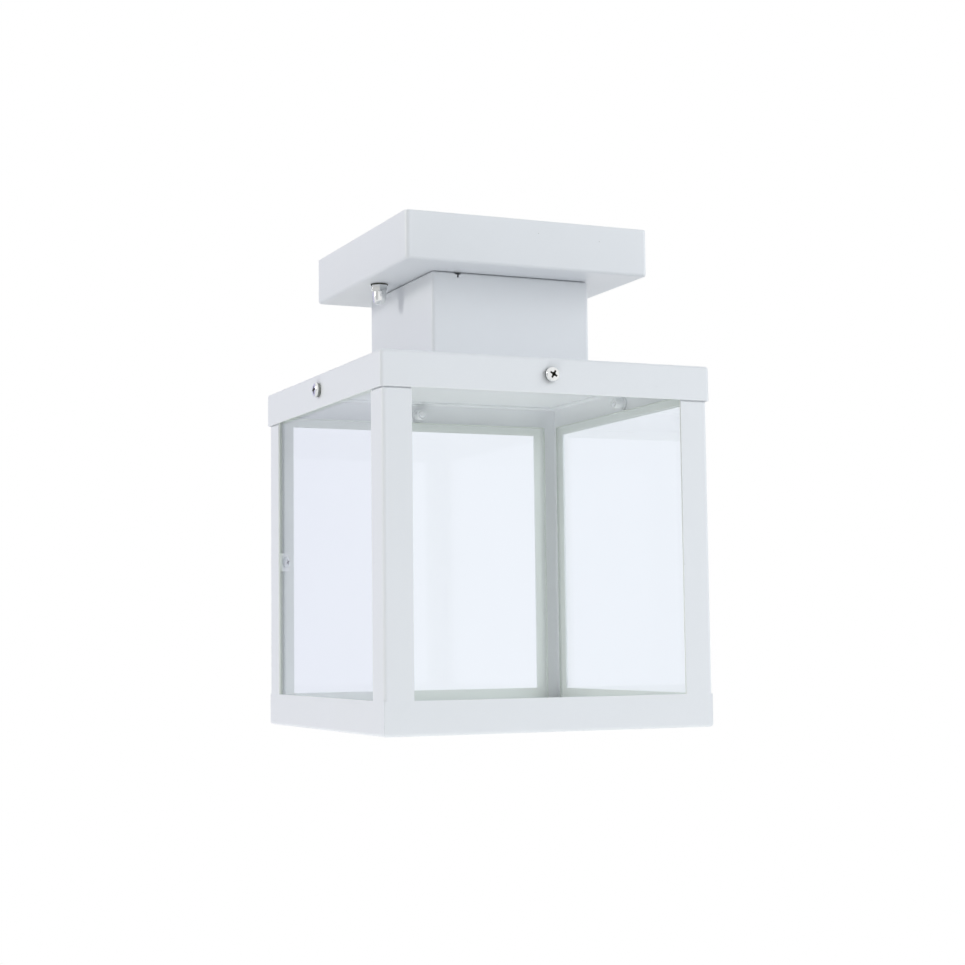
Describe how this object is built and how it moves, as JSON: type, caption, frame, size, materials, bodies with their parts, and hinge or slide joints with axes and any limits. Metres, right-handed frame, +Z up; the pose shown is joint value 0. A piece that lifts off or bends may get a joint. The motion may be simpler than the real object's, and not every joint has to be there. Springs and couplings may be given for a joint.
{
  "type": "square outdoor ceiling lantern",
  "caption": "Square white metal ceiling lantern with clear glass sides, a neck and a square canopy, open below so that a screw base lamp goes up into its lampholder.",
  "frame": {"origin": "centre of the mounting bar's two slots, in the plane of the ceiling", "axes": "+Z up into the ceiling, the lantern hangs to -Z; +X along the mounting bar; the front face looks to -Y"},
  "size_m": [0.1888, 0.1888, 0.261],
  "materials": {
    "white_powder_coat": "semi-gloss white powder coat on folded sheet steel",
    "bright_nickel": "bright nickel plate",
    "zinc_plated_steel": "zinc plated steel",
    "clear_glass": "clear float glass, slightly green at its edges",
    "porcelain": "white glazed porcelain",
    "brass": "plain brass",
    "black_rubber": "matt black rubber",
    "green_earth_screw": "green dyed zinc plate"
  },
  "bodies": {
    "lantern": {"bottom_rail_back": "white_powder_coat", "bottom_rail_front": "white_powder_coat", "bottom_rail_left": "white_powder_coat", "bottom_rail_right": "white_powder_coat", "canopy_pan": "white_powder_coat", "canopy_studs": "zinc_plated_steel", "clip_screws": "zinc_plated_steel", "corner_post_back_left": "white_powder_coat", "corner_post_back_right": "white_powder_coat", "corner_post_front_left": "white_powder_coat", "corner_post_front_right": "white_powder_coat", "earth_screw": "green_earth_screw", "glass_back": "clear_glass", "glass_clips": "white_powder_coat", "glass_front": "clear_glass", "glass_left": "clear_glass", "glass_right": "clear_glass", "lampholder_body": "porcelain", "lampholder_bracket": "zinc_plated_steel", "lampholder_screws": "zinc_plated_steel", "mounting_bar": "zinc_plated_steel", "neck_tube": "white_powder_coat", "pipe_lock_washer": "zinc_plated_steel", "pipe_nuts": "zinc_plated_steel", "roof_tray": "white_powder_coat", "socket_contact": "brass", "socket_shell": "bright_nickel", "stud_lock_nuts": "zinc_plated_steel", "stud_washers": "black_rubber", "terminal_screws": "brass", "threaded_pipe": "zinc_plated_steel", "top_rail_back": "white_powder_coat", "top_rail_front": "white_powder_coat", "top_rail_left": "white_powder_coat", "top_rail_right": "white_powder_coat", "weld_nuts": "white_powder_coat"},
    "side_screw_front": {"side_screw_front": "bright_nickel"},
    "side_screw_right": {"side_screw_right": "bright_nickel"},
    "side_screw_back": {"side_screw_back": "bright_nickel"},
    "side_screw_left": {"side_screw_left": "bright_nickel"},
    "cap_nut_left": {"cap_nut_left": "bright_nickel"},
    "cap_nut_right": {"cap_nut_right": "bright_nickel"}
  },
  "joints": [
    {"name": "side_screw_front_out", "type": "slide", "parent": "lantern", "child": "side_screw_front", "axis": [0, -1, 0], "range_m": [0, 0.0095]},
    {"name": "side_screw_right_out", "type": "slide", "parent": "lantern", "child": "side_screw_right", "axis": [1, 0, 0], "range_m": [0, 0.0095]},
    {"name": "side_screw_back_out", "type": "slide", "parent": "lantern", "child": "side_screw_back", "axis": [0, 1, 0], "range_m": [0, 0.0095]},
    {"name": "side_screw_left_out", "type": "slide", "parent": "lantern", "child": "side_screw_left", "axis": [-1, 0, 0], "range_m": [0, 0.0095]},
    {"name": "cap_nut_left_off", "type": "slide", "parent": "lantern", "child": "cap_nut_left", "axis": [0, 0, -1], "range_m": [0, 0.008]},
    {"name": "cap_nut_right_off", "type": "slide", "parent": "lantern", "child": "cap_nut_right", "axis": [0, 0, -1], "range_m": [0, 0.008]}
  ]
}
